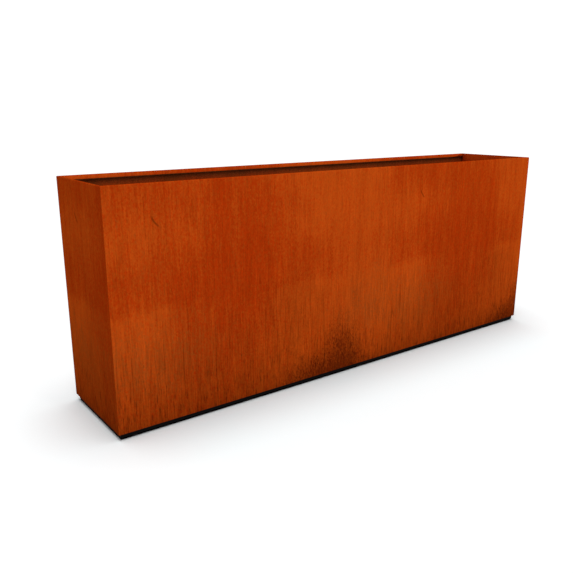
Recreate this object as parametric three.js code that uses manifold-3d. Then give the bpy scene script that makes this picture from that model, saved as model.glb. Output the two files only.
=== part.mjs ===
// A long weathering-steel planter box on a black recessed base frame with rubber pads.
// Millimetres, +Z up. X runs along the length, the front faces -Y, and Z = 0 is the ground.
// The four walls are folded sheets with mitred corners. A tray floor sits on the base frame,
// ribs stiffen the long walls, and bolted tie bars hold those walls together against the soil.

import * as THREE from "three";
import { mergeVertices } from "three/addons/utils/BufferGeometryUtils.js";
import Module from "manifold-3d";

const wasm = await Module();
wasm.setup();

// Driving dimensions.
const INCH = 25.4;
const LENGTH = 96 * INCH;
const DEPTH = 18 * INCH;
const BODY_HEIGHT = 36 * INCH;
const BASE_HEIGHT = 23; // from the ground to the lower edge of the walls
const RIM = BASE_HEIGHT + BODY_HEIGHT; // height of the rim above the ground
const SHEET = 3; // thickness of every folded piece
const FOLD_RADIUS = 4; // outer radius of a fold
const FOLD_STEPS = 4; // facets in a fold
const GAP = 0.3; // between neighbouring pieces
const ROUND_SEGMENTS = 24; // in a full turn of a cylinder or a lathed piece
const CURVE_SEGMENTS = 8; // in each arc of an extruded section

// Folded edges of the walls.
const LONG_LIP = { width: 16, drop: 16 };
const END_LIP = { width: 10, drop: 60 };
const BOTTOM_RETURN = 8;

// Rubber pads, pushed into holes in the undersides of the long rails.
const PAD = { radius: 13, height: 3, chamfer: 1, stem: 4, barb: 5.2, tip: 3.4, length: 10 };
const PAD_STATIONS = [-1150, 0, 1150];

// Base frame: a mitred ring of box section, with cross members under the floor.
const BASE_INSET = 10; // from the walls' outer faces to the ring's
const RAIL = { width: 30, height: 50 };
const RAIL_BOTTOM = PAD.height + GAP;
const CROSS = { width: 40, height: 40 };
const CROSS_STATIONS = [-LENGTH / 4, 0, LENGTH / 4];
const FRAME_TOP = RAIL_BOTTOM + RAIL.height;

// Floor tray and its drains.
const FLOOR_BOTTOM = FRAME_TOP + GAP;
const FLOOR_TOP = FLOOR_BOTTOM + SHEET;
const TRAY_EDGE = 30; // height of the turned-up edges
const TRAY_RELIEF = 9; // square notch where two turned-up edges meet
const DRAIN_STATIONS = [-780, -260, 260, 780];
const DRAIN = { hole: 12, stub: 11, bore: 8.5, flange: 23, dome: 16, height: 16, below: 18 };
const DRAIN_SLOTS = { count: 8, width: 3, height: 7, bottom: 3 };

// Corner posts and wall ribs are folded angles that stand above the tray's edges.
const POST_LEG = 30;
const RIB_LEG = 40;
const UPRIGHT_CLEARANCE = 3; // between the tray's edges and the feet of posts and ribs
const UPRIGHT_BELOW_RIM = 80;
const UPRIGHT_BOTTOM = FLOOR_BOTTOM + TRAY_EDGE + UPRIGHT_CLEARANCE;
const UPRIGHT_TOP = RIM - UPRIGHT_BELOW_RIM;
const RIB_STATIONS = [-LENGTH / 4, 0, LENGTH / 4];

// Tie bars and their fasteners.
const TIE = { thickness: 5, height: 40, below_rim: 200, end_clearance: 4 };
const BOLT = { radius: 5, flats: 17, head: 6.4, past_nut: 3 };
const WASHER = { radius: 10, thickness: 2 };
const NUT = { flats: 17, height: 8 };
const BOLT_FROM_WALL = 24; // from a wall's inner face to the bolt
const BOLT_CLEARANCE = 0.5; // between a bolt and the holes it passes through
const CUT_MARGIN = 10; // how far a cutting solid reaches past what it cuts

const weatheringSteel = new THREE.MeshStandardMaterial({ color: 0xa8420b, roughness: 0.85, metalness: 0.1 });
const blackCoat = new THREE.MeshStandardMaterial({ color: 0x0b0b0c, roughness: 0.55, metalness: 0.2 });
const stainless = new THREE.MeshStandardMaterial({ color: 0x9a9b9c, roughness: 0.35, metalness: 1 });
const blackRubber = new THREE.MeshStandardMaterial({ color: 0x161616, roughness: 0.9, metalness: 0 });
const blackNylon = new THREE.MeshStandardMaterial({ color: 0x141414, roughness: 0.6, metalness: 0 });

// ---- Solids: closed three.js geometries in and out of manifold-3d ----

function solid(geometry) {
  const bare = geometry.clone();
  bare.deleteAttribute("normal");
  bare.deleteAttribute("uv");
  const merged = mergeVertices(bare, 1e-4);
  const vertProperties = merged.attributes.position.array;
  const triVerts = new Uint32Array(merged.index.array);
  return new wasm.Manifold(new wasm.Mesh({ numProp: 3, vertProperties, triVerts }));
}

function geometryOf(manifold) {
  const mesh = manifold.getMesh();
  const geometry = new THREE.BufferGeometry();
  geometry.setAttribute("position", new THREE.BufferAttribute(mesh.vertProperties, 3));
  geometry.setIndex(new THREE.BufferAttribute(mesh.triVerts, 1));
  return geometry;
}

// ---- Sections and prisms ----

// A prism on a section drawn in the XY plane, from z = bottom upwards.
function prism(shape, height, bottom = 0) {
  const settings = { depth: height, bevelEnabled: false, curveSegments: CURVE_SEGMENTS };
  return new THREE.ExtrudeGeometry(shape, settings).translate(0, 0, bottom);
}

// A bar along X, centred on x = 0, whose section is drawn with its first axis as Y and its second as Z.
function bar(shape, length) {
  const geometry = prism(shape, length, -length / 2);
  const yAxis = new THREE.Vector3(0, 1, 0);
  const zAxis = new THREE.Vector3(0, 0, 1);
  const xAxis = new THREE.Vector3(1, 0, 0);
  return geometry.applyMatrix4(new THREE.Matrix4().makeBasis(yAxis, zAxis, xAxis));
}

// The section of a sheet that is folded at right angles, always the same way. The corners
// are those of its outer face, and the sheet's thickness lies on the inner side of the folds.
function foldedSheet(corners) {
  const points = corners.map(([u, v]) => new THREE.Vector2(u, v));
  const directions = points.slice(1).map((point, i) => point.clone().sub(points[i]).normalize());
  const turn = Math.sign(directions[0].cross(directions[1]));
  const inward = directions.map((d) => new THREE.Vector2(-d.y, d.x).multiplyScalar(turn));
  const outer = [points[0]];
  const inner = [points[0].clone().addScaledVector(inward[0], SHEET)];
  for (let i = 1; i < points.length - 1; i++) {
    const centre = points[i].clone();
    centre.addScaledVector(directions[i - 1], -FOLD_RADIUS).addScaledVector(directions[i], FOLD_RADIUS);
    const start = inward[i - 1].clone().negate().angle();
    for (let step = 0; step <= FOLD_STEPS; step++) {
      const angle = start + (turn * step * Math.PI) / 2 / FOLD_STEPS;
      const spoke = new THREE.Vector2(Math.cos(angle), Math.sin(angle));
      outer.push(centre.clone().addScaledVector(spoke, FOLD_RADIUS));
      inner.push(centre.clone().addScaledVector(spoke, FOLD_RADIUS - SHEET));
    }
  }
  const last = points.length - 1;
  outer.push(points[last]);
  inner.push(points[last].clone().addScaledVector(inward[last - 1], SHEET));
  return new THREE.Shape([...outer, ...inner.reverse()]);
}

// A rectangle with rounded corners, from (left, bottom).
function roundedRectangle(path, left, bottom, width, height, radius) {
  const right = left + width;
  const top = bottom + height;
  path.absarc(right - radius, bottom + radius, radius, -Math.PI / 2, 0, false);
  path.absarc(right - radius, top - radius, radius, 0, Math.PI / 2, false);
  path.absarc(left + radius, top - radius, radius, Math.PI / 2, Math.PI, false);
  path.absarc(left + radius, bottom + radius, radius, Math.PI, 1.5 * Math.PI, false);
  path.closePath();
  return path;
}

// The section of a rectangular tube that stands on z = 0, with its outer face at y = 0.
function tubeSection({ width, height }) {
  const shape = roundedRectangle(new THREE.Shape(), 0, 0, width, height, FOLD_RADIUS);
  const bore = [SHEET, SHEET, width - 2 * SHEET, height - 2 * SHEET];
  shape.holes.push(roundedRectangle(new THREE.Path(), ...bore, FOLD_RADIUS - SHEET));
  return shape;
}

// Keeps the part of a geometry that stands over a plan outline.
function trimmedToPlan(geometry, outline, height) {
  const shape = new THREE.Shape(outline.map(([x, y]) => new THREE.Vector2(x, y)));
  const keep = solid(prism(shape, height + 2 * CUT_MARGIN, -CUT_MARGIN));
  return geometryOf(solid(geometry).intersect(keep));
}

// A cylinder along X or Z.
function roundBar(radius, from, to, axis) {
  const geometry = new THREE.CylinderGeometry(radius, radius, to - from, ROUND_SEGMENTS);
  geometry.translate(0, (from + to) / 2, 0);
  return axis === "x" ? geometry.rotateZ(-Math.PI / 2) : geometry.rotateX(Math.PI / 2);
}

// A solid of revolution about Z, from (radius, height) points.
function lathe(profile) {
  const points = profile.map(([r, z]) => new THREE.Vector2(r, z));
  return new THREE.LatheGeometry(points, ROUND_SEGMENTS).rotateX(Math.PI / 2);
}

function hexagon(flats) {
  const radius = flats / Math.sqrt(3);
  const corners = Array.from({ length: 6 }, (_, i) => (i * Math.PI) / 3);
  return new THREE.Shape(corners.map((a) => new THREE.Vector2(radius * Math.cos(a), radius * Math.sin(a))));
}

// ---- Walls ----

// A wall whose outer face lies in y = 0 and faces -Y, standing on z = 0 and centred on x = 0.
// Its top folds inwards and then down, its bottom folds inwards, and each end is mitred to
// the neighbouring wall: first through the two sheets, then through the two lips.
function wall(length, lip, neighbourLip) {
  const section = foldedSheet([
    [BOTTOM_RETURN, 0],
    [0, 0],
    [0, BODY_HEIGHT],
    [lip.width, BODY_HEIGHT],
    [lip.width, BODY_HEIGHT - lip.drop],
  ]);
  const end = length / 2 - GAP / 2;
  const right = [
    [end, 0],
    [end - SHEET, SHEET],
    [end - neighbourLip.width, lip.width],
  ];
  const left = right.map(([x, y]) => [-x, y]).reverse();
  return trimmedToPlan(bar(section, length), [...right, ...left], BODY_HEIGHT);
}

// ---- Base frame ----

// A rail of the base ring, placed as a wall is, and mitred at both ends, with a hole in its
// lower wall for each pad's stem.
function rail(length, padStations) {
  const end = length / 2 - GAP / 2;
  const outline = [
    [end, 0],
    [end - RAIL.width, RAIL.width],
    [RAIL.width - end, RAIL.width],
    [-end, 0],
  ];
  let tube = solid(trimmedToPlan(bar(tubeSection(RAIL), length), outline, RAIL.height));
  for (const x of padStations) {
    const hole = roundBar(PAD.stem + GAP, -SHEET, 2 * SHEET, "z").translate(x, RAIL.width / 2, 0);
    tube = tube.subtract(solid(hole));
  }
  return geometryOf(tube);
}

// A cross member along X, centred on x = 0.
function crossMember(length) {
  return bar(tubeSection(CROSS), length).translate(0, -CROSS.width / 2, 0);
}

// A pad stands on z = 0. The barb at the end of its stem holds it above the rail's lower wall.
function footPad() {
  const barbFoot = PAD.height + SHEET + 2 * GAP;
  const profile = [
    [0, 0],
    [PAD.radius - PAD.chamfer, 0],
    [PAD.radius, PAD.chamfer],
    [PAD.radius, PAD.height],
    [PAD.stem, PAD.height],
    [PAD.stem, barbFoot],
    [PAD.barb, barbFoot],
    [PAD.tip, PAD.length],
    [0, PAD.length],
  ];
  return lathe(profile);
}

// ---- Floor tray and drains ----

function floorTray() {
  const length = LENGTH - 2 * (SHEET + GAP);
  const depth = DEPTH - 2 * (SHEET + GAP);
  let tray = solid(new THREE.BoxGeometry(length, depth, TRAY_EDGE).translate(0, 0, TRAY_EDGE / 2));
  const hollow = new THREE.BoxGeometry(length - 2 * SHEET, depth - 2 * SHEET, TRAY_EDGE);
  tray = tray.subtract(solid(hollow.translate(0, 0, SHEET + TRAY_EDGE / 2)));
  for (const x of [-length / 2, length / 2]) {
    for (const y of [-depth / 2, depth / 2]) {
      const notch = new THREE.BoxGeometry(2 * TRAY_RELIEF, 2 * TRAY_RELIEF, TRAY_EDGE);
      tray = tray.subtract(solid(notch.translate(x, y, SHEET + TRAY_EDGE / 2)));
    }
  }
  for (const x of DRAIN_STATIONS) {
    tray = tray.subtract(solid(roundBar(DRAIN.hole, -SHEET, 2 * SHEET, "z").translate(x, 0, 0)));
  }
  return geometryOf(tray);
}

// A drain: a stub pipe through the floor, a flange that rests on it, and a slotted dome that
// keeps the soil back. z = 0 is the underside of the flange.
function drainStrainer() {
  const { stub, bore, flange, dome, height, below } = DRAIN;
  const profile = [
    [stub, -below],
    [stub, 0],
    [flange, 0],
    [flange, 2],
    [dome, 2.5],
    [dome - 1, 0.55 * height],
    [0.6 * dome, 0.9 * height],
    [0, height],
    [0, height - 2],
    [0.5 * dome, 0.78 * height],
    [dome - 3.5, 0.45 * height],
    [dome - 3.5, 2.5],
    [bore, 1],
    [bore, -below],
    [stub, -below],
  ];
  let body = solid(lathe(profile));
  for (let i = 0; i < DRAIN_SLOTS.count; i++) {
    const slot = new THREE.BoxGeometry(dome, DRAIN_SLOTS.width, DRAIN_SLOTS.height);
    slot.translate(dome, 0, DRAIN_SLOTS.bottom + DRAIN_SLOTS.height / 2);
    slot.rotateZ(((i + 0.5) * 2 * Math.PI) / DRAIN_SLOTS.count);
    body = body.subtract(solid(slot));
  }
  return geometryOf(body);
}

// ---- Posts, ribs and tie bars ----

// A corner post: an upright angle with its outer corner on the Z axis and its legs along +X and +Y.
function cornerPost() {
  const section = foldedSheet([
    [POST_LEG, 0],
    [0, 0],
    [0, POST_LEG],
  ]);
  return prism(section, UPRIGHT_TOP - UPRIGHT_BOTTOM);
}

// A wall rib: an upright angle with one leg flat on the wall, along +X, and the other standing
// out from it, towards +Y from the front wall (side 1) or towards -Y from the rear wall (side -1).
function rib(side) {
  const section = foldedSheet([
    [RIB_LEG, 0],
    [0, 0],
    [0, side * RIB_LEG],
  ]);
  const holeAt = RIM - TIE.below_rim - UPRIGHT_BOTTOM;
  const hole = roundBar(BOLT.radius + BOLT_CLEARANCE, -SHEET, 2 * SHEET, "x");
  hole.translate(0, side * BOLT_FROM_WALL, holeAt);
  return geometryOf(solid(prism(section, UPRIGHT_TOP - UPRIGHT_BOTTOM)).subtract(solid(hole)));
}

// From the planter's middle plane to the bolts at each end of a tie bar.
const BOLT_OFFSET = DEPTH / 2 - SHEET - GAP - BOLT_FROM_WALL;

// A flat bar across the planter, on edge, with one hole at each end. x = 0 is its face on the ribs.
function tieBar() {
  const length = DEPTH - 2 * (SHEET + TIE.end_clearance);
  const { height } = TIE;
  const outline = roundedRectangle(new THREE.Shape(), -length / 2, -height / 2, length, height, FOLD_RADIUS);
  for (const y of [-BOLT_OFFSET, BOLT_OFFSET]) {
    outline.holes.push(new THREE.Path().absarc(y, 0, BOLT.radius + BOLT_CLEARANCE, 0, 2 * Math.PI, true));
  }
  return bar(outline, TIE.thickness).translate(-TIE.thickness / 2, 0, 0);
}

// From the face where a tie bar meets its rib to the face of the nut, past the rib and the washer.
const NUT_FACE = SHEET + GAP + WASHER.thickness + GAP;

// A bolt along X through the tie bar, the rib and the washer. x = 0 is the rib's face.
function tieBolt() {
  const headFace = -TIE.thickness - 2 * GAP;
  const tip = NUT_FACE + NUT.height + BOLT.past_nut;
  const shank = solid(roundBar(BOLT.radius, headFace - 1, tip, "x"));
  const head = bar(hexagon(BOLT.flats), BOLT.head).translate(headFace - BOLT.head / 2, 0, 0);
  return geometryOf(shank.add(solid(head)));
}

function boltHole() {
  return new THREE.Path().absarc(0, 0, BOLT.radius + GAP, 0, 2 * Math.PI, true);
}

function tieWasher() {
  const shape = new THREE.Shape().absarc(0, 0, WASHER.radius, 0, 2 * Math.PI, false);
  shape.holes.push(boltHole());
  return bar(shape, WASHER.thickness).translate(SHEET + GAP + WASHER.thickness / 2, 0, 0);
}

function tieNut() {
  const shape = hexagon(NUT.flats);
  shape.holes.push(boltHole());
  return bar(shape, NUT.height).translate(NUT_FACE + NUT.height / 2, 0, 0);
}

// ---- Assembly ----

const planter = new THREE.Group();

function add(name, geometry, material, x, y, z, turn = 0) {
  const mesh = new THREE.Mesh(geometry, material);
  mesh.name = name;
  mesh.position.set(x, y, z);
  mesh.rotation.z = turn;
  planter.add(mesh);
}

const QUARTER = Math.PI / 2;

function addRing(names, longPiece, endPiece, material, inset, z) {
  const [front, rear, left, right] = names;
  add(front, longPiece, material, 0, -DEPTH / 2 + inset, z);
  add(rear, longPiece, material, 0, DEPTH / 2 - inset, z, 2 * QUARTER);
  add(left, endPiece, material, -LENGTH / 2 + inset, 0, z, -QUARTER);
  add(right, endPiece, material, LENGTH / 2 - inset, 0, z, QUARTER);
}

function addWalls() {
  const names = ["front_panel", "rear_panel", "left_end_panel", "right_end_panel"];
  const longWall = wall(LENGTH, LONG_LIP, END_LIP);
  const endWall = wall(DEPTH, END_LIP, LONG_LIP);
  addRing(names, longWall, endWall, weatheringSteel, 0, BASE_HEIGHT);
}

function addBaseFrame() {
  const names = ["base_rail_front", "base_rail_rear", "base_rail_left", "base_rail_right"];
  const longRail = rail(LENGTH - 2 * BASE_INSET, PAD_STATIONS);
  const endRail = rail(DEPTH - 2 * BASE_INSET, []);
  addRing(names, longRail, endRail, blackCoat, BASE_INSET, RAIL_BOTTOM);
  const cross = crossMember(DEPTH - 2 * (BASE_INSET + RAIL.width + GAP));
  const z = FRAME_TOP - CROSS.height;
  CROSS_STATIONS.forEach((x, i) => add(`base_cross_member_${i + 1}`, cross, blackCoat, x, 0, z, QUARTER));
}

function addPads() {
  const pad = footPad();
  const offset = DEPTH / 2 - BASE_INSET - RAIL.width / 2;
  PAD_STATIONS.forEach((x, i) => {
    add(`foot_pad_front_${i + 1}`, pad, blackRubber, x, -offset, 0);
    add(`foot_pad_rear_${i + 1}`, pad, blackRubber, x, offset, 0);
  });
}

function addFloor() {
  add("floor_tray", floorTray(), weatheringSteel, 0, 0, FLOOR_BOTTOM);
  const strainer = drainStrainer();
  DRAIN_STATIONS.forEach((x, i) => add(`drain_strainer_${i + 1}`, strainer, blackNylon, x, 0, FLOOR_TOP + GAP));
}

function addCornerPosts() {
  const post = cornerPost();
  const x = LENGTH / 2 - SHEET - GAP;
  const y = DEPTH / 2 - SHEET - GAP;
  add("corner_post_front_left", post, weatheringSteel, -x, -y, UPRIGHT_BOTTOM);
  add("corner_post_front_right", post, weatheringSteel, x, -y, UPRIGHT_BOTTOM, QUARTER);
  add("corner_post_rear_right", post, weatheringSteel, x, y, UPRIGHT_BOTTOM, 2 * QUARTER);
  add("corner_post_rear_left", post, weatheringSteel, -x, y, UPRIGHT_BOTTOM, -QUARTER);
}

function addBraces() {
  const wallFace = DEPTH / 2 - SHEET - GAP;
  const tieHeight = RIM - TIE.below_rim;
  const bolt = tieBolt();
  const washer = tieWasher();
  const nut = tieNut();
  const frontRib = rib(1);
  const rearRib = rib(-1);
  const tie = tieBar();
  RIB_STATIONS.forEach((x, i) => {
    const n = i + 1;
    add(`rib_front_${n}`, frontRib, weatheringSteel, x, -wallFace, UPRIGHT_BOTTOM);
    add(`rib_rear_${n}`, rearRib, weatheringSteel, x, wallFace, UPRIGHT_BOTTOM);
    add(`tie_bar_${n}`, tie, weatheringSteel, x - GAP, 0, tieHeight);
    for (const [side, y] of [["front", -BOLT_OFFSET], ["rear", BOLT_OFFSET]]) {
      add(`tie_bolt_${side}_${n}`, bolt, stainless, x, y, tieHeight);
      add(`tie_washer_${side}_${n}`, washer, stainless, x, y, tieHeight);
      add(`tie_nut_${side}_${n}`, nut, stainless, x, y, tieHeight);
    }
  });
}

addWalls();
addBaseFrame();
addPads();
addFloor();
addCornerPosts();
addBraces();

export default planter;
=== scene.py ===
"""The looks of a long weathering-steel planter box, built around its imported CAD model.

Metres, +Z up, in the model's own frame: X runs along the length, the front faces -Y, and z = 0
is the ground. Each CAD node is rebuilt with round folds, worn edges, threads and fillets in its
own place, and the welds that join the pieces are added.
"""

import math
import random

import bmesh
import bpy
from mathutils import Matrix, Vector
from mathutils.geometry import tessellate_polygon


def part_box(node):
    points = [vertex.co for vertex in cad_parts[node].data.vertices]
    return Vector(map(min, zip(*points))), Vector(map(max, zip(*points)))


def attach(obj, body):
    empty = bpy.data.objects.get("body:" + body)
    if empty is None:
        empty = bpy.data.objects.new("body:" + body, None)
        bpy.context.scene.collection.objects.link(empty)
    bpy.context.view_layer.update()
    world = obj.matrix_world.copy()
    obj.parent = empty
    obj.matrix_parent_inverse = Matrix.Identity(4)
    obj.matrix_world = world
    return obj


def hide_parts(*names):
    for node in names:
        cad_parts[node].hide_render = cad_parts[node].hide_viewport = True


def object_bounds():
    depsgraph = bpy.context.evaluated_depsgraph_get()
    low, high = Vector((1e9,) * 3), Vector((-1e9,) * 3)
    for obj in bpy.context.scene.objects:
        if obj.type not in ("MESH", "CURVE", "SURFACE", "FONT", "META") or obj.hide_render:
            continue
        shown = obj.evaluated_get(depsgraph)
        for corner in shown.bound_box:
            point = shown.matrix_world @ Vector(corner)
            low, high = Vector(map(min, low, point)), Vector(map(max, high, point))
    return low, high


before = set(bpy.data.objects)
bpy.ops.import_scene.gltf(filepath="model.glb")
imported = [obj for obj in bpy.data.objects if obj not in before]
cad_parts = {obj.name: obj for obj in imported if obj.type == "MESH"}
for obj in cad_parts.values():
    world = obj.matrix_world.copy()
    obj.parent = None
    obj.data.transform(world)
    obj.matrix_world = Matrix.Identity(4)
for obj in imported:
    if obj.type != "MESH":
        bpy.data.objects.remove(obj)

CAD_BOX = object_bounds()
BODY = "root"
MM = 0.001

# ---- Sizes, from the frame ----

FRONT_LOW, FRONT_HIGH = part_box("front_panel")
LEFT_LOW, LEFT_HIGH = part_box("left_end_panel")
TRAY_LOW, TRAY_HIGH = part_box("floor_tray")
RAIL_LOW, RAIL_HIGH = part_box("base_rail_front")
POST_LOW, POST_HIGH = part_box("corner_post_front_left")

LENGTH = CAD_BOX[1][0] - CAD_BOX[0][0]
DEPTH = CAD_BOX[1][1] - CAD_BOX[0][1]
WALL_BOTTOM = FRONT_LOW.z
RIM = FRONT_HIGH.z
WALL_HEIGHT = RIM - WALL_BOTTOM
LONG_LIP = FRONT_HIGH.y - FRONT_LOW.y
END_LIP = LEFT_HIGH.x - LEFT_LOW.x
RAIL_WIDTH = RAIL_HIGH.y - RAIL_LOW.y
RING_INNER_X = RAIL_HIGH.x - RAIL_WIDTH  # the space inside the base frame's rails
RING_INNER_Y = -RAIL_HIGH.y

# ---- Sizes of what the boxes don't tell ----

SHEET = 3 * MM
FOLD_RADIUS = 4 * MM
LONG_DROP = 16 * MM
END_DROP = 60 * MM
BOTTOM_RETURN = 8 * MM
CORNER_RADIUS = 1.2 * MM  # of the ground welds on the four upright corners
CUT_EDGE = 0.4 * MM  # rounding of sheared edges
SAWN_EDGE = 0.2 * MM  # rounding of sawn tube ends
FINE_RADIUS = 1 * MM  # arcs smaller than this need few steps
FINE_STEPS = 2
ARC_STEPS = 8
ROUND_SEGMENTS = 48
SHARP_FROM = 35  # degrees between faces whose edge shows
HEX_SHARP_FROM = 25
SHEARED_FROM = 40  # degrees between a sheet's faces and its cut edges

# ---- Names in the frame, with the sign of their y or x ----

WALLS = {
    "front": "front_panel",
    "rear": "rear_panel",
    "left": "left_end_panel",
    "right": "right_end_panel",
}
SIDES = (("front", -1), ("rear", 1))
ENDS = (("left", -1), ("right", 1))
CORNERS = ((-1, -1), (-1, 1), (1, -1), (1, 1))  # signs of x and y
STATIONS = (1, 2, 3)  # of ribs, tie bars, cross members and pads
DRAINS = (1, 2, 3, 4)

# ---- Camera ----

CAMERA_AT = (-1.990, -2.294, 1.168)
CAMERA_YAW = 36.70  # degrees from +Y towards +X
CAMERA_PITCH = 15.17  # degrees below the horizon
LENS = 40  # millimetres, on a 36 mm sensor


def in_scene(name, data):
    """A new object that is linked to the scene."""
    thing = bpy.data.objects.new(name, data)
    bpy.context.scene.collection.objects.link(thing)
    return thing


def make_camera():
    data = bpy.data.cameras.new("camera")
    data.lens = LENS
    data.sensor_width = 36
    data.clip_start = 0.01
    camera = in_scene("camera", data)
    camera.location = CAMERA_AT
    camera.rotation_euler = (math.radians(90 - CAMERA_PITCH), 0, math.radians(-CAMERA_YAW))
    bpy.context.scene.camera = camera


# ---- Materials: nodes as arithmetic ----


class Value:
    """A number that nodes work out at each point of a surface. Arithmetic on it adds nodes."""

    def __init__(self, shading, socket):
        self.shading = shading
        self.socket = socket

    def __add__(self, other):
        return self.shading.math("ADD", self, other)

    def __sub__(self, other):
        return self.shading.math("SUBTRACT", self, other)

    def __rsub__(self, other):
        return self.shading.math("SUBTRACT", other, self)

    def __mul__(self, other):
        return self.shading.math("MULTIPLY", self, other)

    def __mod__(self, other):
        return self.shading.math("MODULO", self, other)

    def __pow__(self, power):
        return self.shading.math("POWER", self, power)

    def __abs__(self):
        return self.shading.math("ABSOLUTE", self)

    __radd__ = __add__


def swing(noise, amount):
    """Noise that runs from 0 to 1, as a change of half the amount each way."""
    return (noise - 0.5) * amount


class Shading:
    """One material's nodes, and the material's slot. A place is three values or numbers."""

    def __init__(self, name, slot=None):
        self.slot = slot
        self.material = bpy.data.materials.new(name)
        self.material.use_nodes = True
        self.tree = self.material.node_tree
        self.shader = self.tree.nodes["Principled BSDF"]

    def put(self, socket, value):
        if isinstance(value, Value):
            value = value.socket
        if isinstance(value, bpy.types.NodeSocket):
            self.tree.links.new(value, socket)
        else:
            socket.default_value = value

    def node(self, kind, *values, **settings):
        """A node whose first inputs have the values."""
        node = self.tree.nodes.new(kind)
        for key, value in settings.items():
            setattr(node, key, value)
        for socket, value in zip(node.inputs, values):
            self.put(socket, value)
        return node

    def split(self, vector):
        """A vector's three values."""
        return [Value(self, out) for out in self.node("ShaderNodeSeparateXYZ", vector).outputs]

    def vector(self, *values):
        return self.node("ShaderNodeCombineXYZ", *values).outputs[0]

    def position(self):
        """The point's x, y and z in the planter's frame."""
        return self.split(self.node("ShaderNodeTexCoord").outputs["Object"])

    def math(self, operation, *values):
        return Value(self, self.node("ShaderNodeMath", *values, operation=operation).outputs[0])

    def noise(self, place, scale=1.0, detail=2.0, roughness=0.5):
        """Smooth noise, about 0 to 1 with a mean of 0.5."""
        settings = (0, scale, detail, roughness)
        node = self.node("ShaderNodeTexNoise", self.vector(*place), *settings)
        return Value(self, node.outputs["Fac"])

    def grains(self, place, scale):
        """Two values from 0 to 1 that differ from grain to grain, with scale ragged grains per unit."""
        vector = self.vector(*place)
        ragged = self.node("ShaderNodeTexNoise", vector, 0, 1.5 * scale, 1.0).outputs["Color"]
        terms = (ragged, (1.3 / scale,) * 3, vector)
        bent = self.node("ShaderNodeVectorMath", *terms, operation="MULTIPLY_ADD").outputs[0]
        cells = self.node("ShaderNodeTexVoronoi", bent, 0, scale)
        return self.split(cells.outputs["Color"])[:2]

    def ramp(self, value, low, high, bottom=0.0, top=1.0):
        """Goes smoothly from bottom to top as value goes from low to high."""
        values = (value, low, high, bottom, top)
        node = self.node("ShaderNodeMapRange", *values, interpolation_type="SMOOTHSTEP")
        return Value(self, node.outputs["Result"])

    def blob(self, u, v, centre, radii):
        """1 in the middle of a soft ellipse in the (u, v) plane, 0 outside it."""
        across = (u - centre[0]) * (1 / radii[0])
        up = (v - centre[1]) * (1 / radii[1])
        return self.ramp(self.math("SQRT", across**2 + up**2), 0.0, 1.0, 1.0, 0.0)

    def mix(self, factor, a, b, blend="MIX"):
        node = self.node("ShaderNodeMix", data_type="RGBA", blend_type=blend)
        self.put(node.inputs["Factor"], factor)
        self.put(node.inputs[6], a)
        self.put(node.inputs[7], b)
        return node.outputs[2]

    def shade(self, colour, factor):
        """The colour times a grey factor."""
        return self.mix(1.0, colour, self.vector(factor, factor, factor), "MULTIPLY")

    def bump(self, height, depth):
        """Raises the surface by height times depth, in metres."""
        node = self.node("ShaderNodeBump")
        node.inputs["Distance"].default_value = depth
        self.put(node.inputs["Height"], height)
        self.put(self.shader.inputs["Normal"], node.outputs["Normal"])

    def finish(self, colour, roughness, metallic=0.0, specular=0.5):
        """Sets the shader, and gives the finish: the material and its slot."""
        self.put(self.shader.inputs["Base Color"], colour)
        self.put(self.shader.inputs["Roughness"], roughness)
        self.shader.inputs["Metallic"].default_value = metallic
        self.shader.inputs["Specular IOR Level"].default_value = specular
        return self.material, self.slot


# ---- Stage: floor, sky and two lights ----

FLOOR_REACH = 120  # from the planter to the floor's edge
SKY_LIGHT = 0.53
SKY_SEEN = 1.2


def make_sun(name, strength, spread, elevation, azimuth):
    """A distant light, its angles in degrees. Azimuth 0 is in front of the planter, and 90 is on
    its right."""
    data = bpy.data.lights.new(name, "SUN")
    data.energy = strength
    data.angle = math.radians(spread)
    tilt = math.radians(90 - elevation)
    in_scene(name, data).rotation_euler = (tilt, 0, math.radians(azimuth))


def make_world():
    """A sky that is seen as pure white, and gives a dimmer light."""
    world = bpy.data.worlds.new("studio")
    bpy.context.scene.world = world
    world.use_nodes = True
    tree = world.node_tree
    background = tree.nodes["Background"]
    background.inputs["Color"].default_value = (1, 1, 1, 1)
    path = tree.nodes.new("ShaderNodeLightPath")
    level = tree.nodes.new("ShaderNodeMapRange")
    level.inputs["To Min"].default_value = SKY_LIGHT
    level.inputs["To Max"].default_value = SKY_SEEN
    tree.links.new(path.outputs["Is Camera Ray"], level.inputs["Value"])
    tree.links.new(level.outputs["Result"], background.inputs["Strength"])


def floor_white():
    """White that is cooler in front of the planter, against the light that the rust reflects."""
    s = Shading("floor")
    x, y, _ = s.position()
    warmed = s.ramp(y, -0.30, -0.20, 1.0, 0.0) * s.ramp(y, -0.90, -0.45)
    warmed *= s.ramp(abs(x), 0.85, 1.30, 1.0, 0.0)
    colour = s.mix(warmed, (0.834, 0.862, 0.868, 1), (0.796, 0.880, 0.893, 1))
    # Under the base frame it is painted black, a painted shadow, so that no light shows between the
    # pads.
    ends = s.ramp(abs(x), RAIL_HIGH.x - 1 * MM, RAIL_HIGH.x)
    sides = s.ramp(abs(y), -RAIL_LOW.y - 1 * MM, -RAIL_LOW.y)
    s.finish(s.shade(colour, s.math("MAXIMUM", ends, sides)), 1.0, 0.0, 0.0)
    # From below the floor can't be seen, so that the planter's underside can.
    from_below = s.node("ShaderNodeNewGeometry").outputs["Backfacing"]
    clear = s.node("ShaderNodeBsdfTransparent").outputs[0]
    either = s.node("ShaderNodeMixShader", from_below, s.shader.outputs[0], clear)
    s.put(s.tree.nodes["Material Output"].inputs["Surface"], either.outputs[0])
    return s.material


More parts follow.
